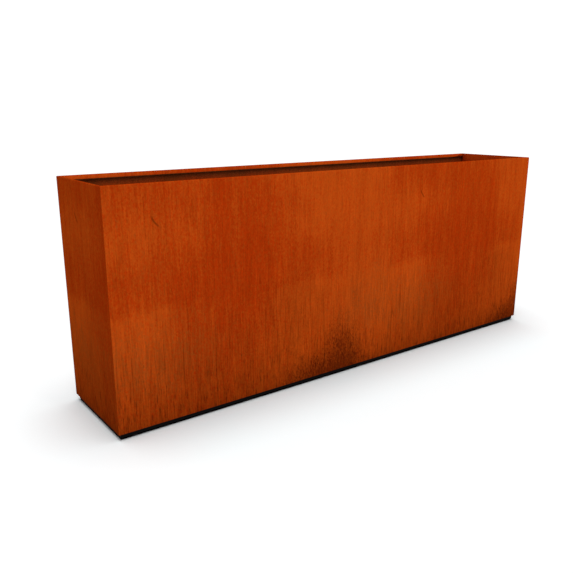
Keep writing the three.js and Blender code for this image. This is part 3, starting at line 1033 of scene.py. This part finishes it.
DRAIN_AT = [middle(f"drain_strainer_{n}") for n in DRAINS]
DRAIN_SPACING = DRAIN_AT[1].x - DRAIN_AT[0].x
DRAIN_HOLE = 12 * MM
DRAIN_REACH = 3 * DRAIN_HOLE  # from a drain to the lines of the net around it
STUB_LENGTH = 18 * MM  # of a strainer, below its flange
SLOTS = 8  # in a strainer's dome
TRAY_RELIEF = 9 * MM  # notch where two turned-up edges meet


def net_lines(half, cuts):
    """The lines across a tray's net, and the first and last index of those on its floor. Each line
    is the outer face's place and height, and the inner face's. cuts are lines on the floor."""
    flat = half - FOLD_RADIUS
    floor, top = TRAY_LOW.z, TRAY_HIGH.z
    inner = FOLD_RADIUS - SHEET
    right = []
    for i in range(ARC_STEPS + 1):
        angle = math.pi / 2 * i / ARC_STEPS
        s, c = math.sin(angle), math.cos(angle)
        outer_point = (flat + FOLD_RADIUS * s, floor + FOLD_RADIUS * (1 - c))
        right.append((*outer_point, flat + inner * s, floor + FOLD_RADIUS - inner * c))
    right.append((half, top, half - SHEET, top))
    left = [(-a, za, -b, zb) for a, za, b, zb in reversed(right)]
    centre = [(cut, floor, cut, floor + SHEET) for cut in sorted(cuts)]
    return left + centre + right, (len(left) - 1, len(left) + len(centre))


class TrayNet:
    """The sheet of a floor with drain holes and four turned-up edges, notched at the corners. Cell
    i, j lies between lines i and i + 1 along X, and j and j + 1 along Y."""

    def __init__(self):
        self.bm = bmesh.new()
        self.grid = {}
        cuts = [drain.x + side * DRAIN_REACH for drain in DRAIN_AT for side in (-1, 1)]
        notches = [side * (TRAY_HIGH.x - TRAY_RELIEF) for side in (-1, 1)]
        self.x_lines, self.x_floor = net_lines(TRAY_HIGH.x, cuts + notches)
        notches = [side * (TRAY_HIGH.y - TRAY_RELIEF) for side in (-1, 1)]
        self.y_lines, self.y_floor = net_lines(TRAY_HIGH.y, [-DRAIN_REACH, DRAIN_REACH] + notches)
        for i in range(len(self.x_lines) - 1):
            for j in range(len(self.y_lines) - 1):
                if self.has_sheet(i, j):
                    self.add_cell(i, j)

    def has_sheet(self, i, j):
        (x_first, x_last), (y_first, y_last) = self.x_floor, self.y_floor
        on_floor = x_first <= i < x_last and y_first <= j < y_last
        between_notches = x_first < i < x_last - 1 or y_first < j < y_last - 1
        in_net = 0 <= i < len(self.x_lines) - 1 and 0 <= j < len(self.y_lines) - 1
        return in_net and (on_floor or between_notches)

    def has_drain(self, i, j):
        left, right = self.x_lines[i][0], self.x_lines[i + 1][0]
        has_one = any(left < drain.x < right for drain in DRAIN_AT)
        return has_one and self.y_lines[j][0] < 0 < self.y_lines[j + 1][0]

    def vertex(self, i, j, face):
        """The corner of the net where lines i and j cross, on the outer (0) or inner (1) face."""
        if (i, j, face) not in self.grid:
            x, x_height = self.x_lines[i][2 * face : 2 * face + 2]
            y, y_height = self.y_lines[j][2 * face : 2 * face + 2]
            self.grid[i, j, face] = self.bm.verts.new((x, y, max(x_height, y_height)))
        return self.grid[i, j, face]

    def add_cell(self, i, j):
        corners = [(i, j), (i + 1, j), (i + 1, j + 1), (i, j + 1)]
        faces = [[self.vertex(a, b, face) for a, b in corners] for face in (0, 1)]
        if self.has_drain(i, j):
            self.add_hole(faces, (self.x_lines[i][0] + self.x_lines[i + 1][0]) / 2)
        else:
            for face in faces:
                self.bm.faces.new(face)
        for k, (di, dj) in enumerate(((0, -1), (1, 0), (0, 1), (-1, 0))):
            if not self.has_sheet(i + di, j + dj):
                (a, b), (c, d) = ((face[k], face[(k + 1) % 4]) for face in faces)
                self.bm.faces.new((a, b, d, c))

    def add_hole(self, faces, centre):
        """Both faces of a cell with a round hole, and the hole's wall."""
        hole = circle(centre, 0, DRAIN_HOLE)
        rims = []
        for outer in faces:
            rim = [self.bm.verts.new((p.x, p.y, outer[0].co.z)) for p in hole]
            verts = outer + rim
            for triangle in tessellate_polygon([[v.co.copy() for v in loop] for loop in (outer, rim)]):
                self.bm.faces.new([verts[k] for k in triangle])
            rims.append(rim)
        for k in range(len(hole)):
            self.bm.faces.new((rims[0][k - 1], rims[0][k], rims[1][k], rims[1][k - 1]))


def make_tray():
    """The tray, with its sheared edges rounded."""
    bm = TrayNet().bm
    bmesh.ops.recalc_face_normals(bm, faces=bm.faces)
    bm.normal_update()
    least = math.radians(SHEARED_FROM)
    sharp = [e for e in bm.edges if e.is_manifold and e.calc_face_angle() > least]
    settings = {"segments": FINE_STEPS, "profile": 0.5, "affect": "EDGES", "clamp_overlap": True}
    bmesh.ops.bevel(bm, geom=sharp, offset=CUT_EDGE, **settings)
    bmesh.ops.dissolve_degenerate(bm, dist=0.01 * MM, edges=bm.edges)
    stains = (DRAIN_SPACING, DRAIN_SPACING / 2 - DRAIN_AT[0].x)
    rebuild("floor_tray", "sheet", bm, frame_rust("rust_tray", 11.0, 0.80, stains))


def strainer_body():
    """A drain insert about the Z axis, its flange's underside at z = 0: a stub pipe below, and a
    slotted dome above."""
    path = [(0, 16, 0), (9.6, 14.4, 4), (15, 8.8, 3), (16, 2.4, 0.6), (22.4, 2.0, 0.5)]
    path += [(23, 0, 0.3), (11, 0, 0.2), (11, -17, 0), (10.2, -18, 0.3), (8.5, -18, 0.3)]
    path += [(8.5, 1, 0.5), (12.5, 2.5, 0.6), (12.5, 7.2, 2), (8, 12.5, 3), (0, 14, 0)]
    body = turned(path, 64)
    outline = rectangle(-1.5 * MM, 3.4 * MM, 1.5 * MM, 10 * MM, 1.4 * MM)
    ends = fixed_ends(8 * MM, 24 * MM)
    slots = []
    for angle in full_turn(SLOTS):
        turn = Matrix.Rotation(angle + math.pi / SLOTS, 4, "Z")
        slots.append(prism(outline, ends, lambda along, a, b: turn @ Vector((along, a, b)), edge=0))
    return without(body, joined(slots))


def make_strainers():
    body = strainer_body()
    nylon = black_nylon()
    for n in DRAINS:
        node = f"drain_strainer_{n}"
        rebuild(node, "moulding", stood_at(body, node, STUB_LENGTH), nylon)
    body.free()


# ---- Base frame and pads ----

BLACK_COAT = black_coat()
PAD_HOLE = 4.3 * MM


def tube_outlines(width, low, high):
    """A rectangular tube's outline and bore, its outer face at 0."""
    outer = rectangle(0, low, width, high, FOLD_RADIUS)
    bore = rectangle(SHEET, low + SHEET, width - SHEET, high - SHEET, FOLD_RADIUS - SHEET + 0.2 * MM)
    return outer, bore


def pad_drills(side):
    """Bars that drill the holes for a long rail's pads."""
    ends = fixed_ends(RAIL_LOW.z - SHEET, RAIL_LOW.z + 1.5 * SHEET)
    pads = [middle(f"foot_pad_{side}_{n}") for n in STATIONS]
    return joined([prism(circle(pad.x, pad.y, PAD_HOLE), ends, along_z, edge=0) for pad in pads])


def make_rails():
    outer, bore = tube_outlines(RAIL_WIDTH, RAIL_LOW.z, RAIL_HIGH.z)
    half_x, half_y = RAIL_HIGH.x, -RAIL_LOW.y
    for side in WALLS:
        half = half_x if is_long(side) else half_y
        place = inwards_from(side, half_x, half_y)
        bm = prism(outer, lambda a: (a - half, half - a), place, [bore], SAWN_EDGE)
        if is_long(side):
            bm = without(bm, pad_drills(side))
        rebuild(f"base_rail_{side}", "tube", bm, BLACK_COAT)


def make_cross_members():
    for n in STATIONS:
        node = f"base_cross_member_{n}"
        low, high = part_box(node)
        outer, bore = tube_outlines(high.x - low.x, low.z, high.z)
        ends = fixed_ends(low.y, high.y)
        bm = prism(outer, ends, lambda along, a, b: (low.x + a, along, b), [bore], SAWN_EDGE)
        rebuild(node, "tube", bm, BLACK_COAT)


def make_pads():
    """Turned pads with two grooves underneath, and a barbed stem."""
    path = [(0, 0, 0), (4.5, 0, 0.2), (4.9, 0.6, 0.2), (6.1, 0.6, 0.2), (6.5, 0, 0.2)]
    path += [(8.5, 0, 0.2), (8.9, 0.6, 0.2), (10.1, 0.6, 0.2), (10.5, 0, 0.2)]
    path += [(13, 0, 1.0), (13, 3, 0.4), (4, 3, 0.2), (4, 6.6, 0.1), (5.2, 6.6, 0.2)]
    path += [(3.4, 10, 0.5), (0, 10, 0)]
    body = turned(path)
    rubber = black_rubber()
    for side, _ in SIDES:
        for n in STATIONS:
            node = f"foot_pad_{side}_{n}"
            rebuild(node, "rubber", stood_at(body, node), rubber)
    body.free()


# ---- Welds ----

BEAD_LEG = 3 * MM
BEAD_RIPPLE = 2.6 * MM  # from one ripple to the next
BEAD_RING = 0.65 * MM
BEAD_END = 3 * MM  # length over which a bead thins out
BEAD_SECTION = 6  # points on a bead's surface across it
UPRIGHT_STITCH = 38 * MM
UPRIGHT_STITCHES = 5
TRAY_STITCH = 45 * MM
BAY_STITCHES = 3
END_STITCHES = 2


def bead(start, stop, toward_a, toward_b, draw):
    """A rippled fillet weld between two faces that leave the line from start to stop along
    toward_a and toward_b. draw gives its random sizes."""
    start, stop = Vector(start), Vector(stop)
    a, b = Vector(toward_a), Vector(toward_b)
    length = (stop - start).length
    way = (stop - start) / length
    steps = math.ceil(length / BEAD_RING)
    leg = BEAD_LEG * draw.uniform(0.88, 1.0)
    shift = draw.uniform(0, 2 * math.pi)
    rings = []
    for i in range(steps + 1):
        at = length * i / steps
        taper = min(1.0, (min(at, length - at) + 0.25 * BEAD_END) / BEAD_END) ** 0.5
        ring = [start + way * at]
        for k in range(BEAD_SECTION):
            angle = math.pi / 2 * k / (BEAD_SECTION - 1)
            lag = 0.4 * BEAD_RIPPLE * math.sin(2 * angle)
            ripple = 1 - 0.07 * (1 + math.cos(2 * math.pi * (at + lag) / BEAD_RIPPLE + shift))
            chord = 1 / (math.cos(angle) + math.sin(angle))
            reach = leg * taper * ripple * (0.55 * chord + 0.45)
            ring.append(start + way * at + (a * math.cos(angle) + b * math.sin(angle)) * reach)
        rings.append(ring)
    return closed_loft(rings)


def stitches(start, stop, count, length):
    """The ends of welds of one length, spread evenly from start to stop."""
    for i in range(count):
        at = start + (stop - start) * (i + 0.5) / count
        yield at - length / 2, at + length / 2


def upright_runs(x, y, toward_a, toward_b):
    """Stitches up one edge of a post or a rib."""
    for low, high in stitches(POST_LOW.z, POST_HIGH.z, UPRIGHT_STITCHES, UPRIGHT_STITCH):
        yield (x, y, low), (x, y, high), toward_a, toward_b


def add_beads(name, runs, finish, draw):
    """Adds a piece with a bead for each run: its two ends, and where its two faces lead."""
    add_piece(name, joined([bead(*run, draw) for run in runs]), finish)


def make_upright_welds():
    ribs, posts = [], []
    for n in STATIONS:
        for side, sign in SIDES:
            low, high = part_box(f"rib_{side}_{n}")
            inward = (0, -sign, 0)
            ribs += upright_runs(high.x, sign * INNER_WALL_Y, (1, 0, 0), inward)
            ribs += upright_runs(low.x, sign * INNER_WALL_Y, (-1, 0, 0), inward)
    for x_sign, y_sign in CORNERS:
        away_x, away_y = (-x_sign, 0, 0), (0, -y_sign, 0)
        edge_x, edge_y = -x_sign * POST_HIGH.x, -y_sign * POST_HIGH.y
        posts += upright_runs(edge_x, y_sign * INNER_WALL_Y, away_x, away_y)
        posts += upright_runs(x_sign * INNER_WALL_X, edge_y, away_y, away_x)
    draw = random.Random(11)
    add_beads("rib_welds", ribs, WELD_RUST, draw)
    add_beads("post_welds", posts, WELD_RUST, draw)


def make_tray_welds():
    """Stitches on the tray's turned-up edges, clear of the ribs and the posts."""
    runs, top, up = [], TRAY_HIGH.z, (0, 0, 1)
    bay_length = LENGTH / (len(STATIONS) + 1)
    for bay in range(len(STATIONS) + 1):
        left = bay * bay_length - LENGTH / 2
        reach = (left + 60 * MM, left + bay_length - 20 * MM)
        for start, stop in stitches(*reach, BAY_STITCHES, TRAY_STITCH):
            for sign in (-1, 1):
                y = sign * INNER_WALL_Y
                runs.append(((start, y, top), (stop, y, top), up, (0, -sign, 0)))
    for start, stop in stitches(-0.4 * DEPTH, 0.4 * DEPTH, END_STITCHES, TRAY_STITCH):
        for sign in (-1, 1):
            x = sign * INNER_WALL_X
            runs.append(((x, start, top), (x, stop, top), up, (-sign, 0, 0)))
    add_beads("tray_welds", runs, WELD_RUST, random.Random(12))


def make_frame_welds():
    """Welds from the cross members to the rails, and inside the ring's corners."""
    runs = []
    for n in STATIONS:
        low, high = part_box(f"base_cross_member_{n}")
        for sign in (-1, 1):
            y, inward = sign * RING_INNER_Y, (0, -sign, 0)
            for x, away in ((low.x, (-1, 0, 0)), (high.x, (1, 0, 0))):
                ends = (x, y, low.z + FOLD_RADIUS), (x, y, high.z - FOLD_RADIUS)
                runs.append((*ends, away, inward))
            ends = (low.x + FOLD_RADIUS, y, low.z), (high.x - FOLD_RADIUS, y, low.z)
            runs.append((*ends, (0, 0, -1), inward))
    for x_sign, y_sign in CORNERS:
        x, y = x_sign * RING_INNER_X, y_sign * RING_INNER_Y
        ends = (x, y, RAIL_LOW.z + FOLD_RADIUS), (x, y, RAIL_HIGH.z - FOLD_RADIUS)
        runs.append((*ends, (-x_sign, 0, 0), (0, -y_sign, 0)))
    add_beads("frame_welds", runs, BLACK_COAT, random.Random(13))


make_camera()
make_stage()
make_walls()
make_corner_welds()
make_posts()
make_braces()
make_tray()
make_strainers()
make_rails()
make_cross_members()
make_pads()
make_upright_welds()
make_tray_welds()
make_frame_welds()
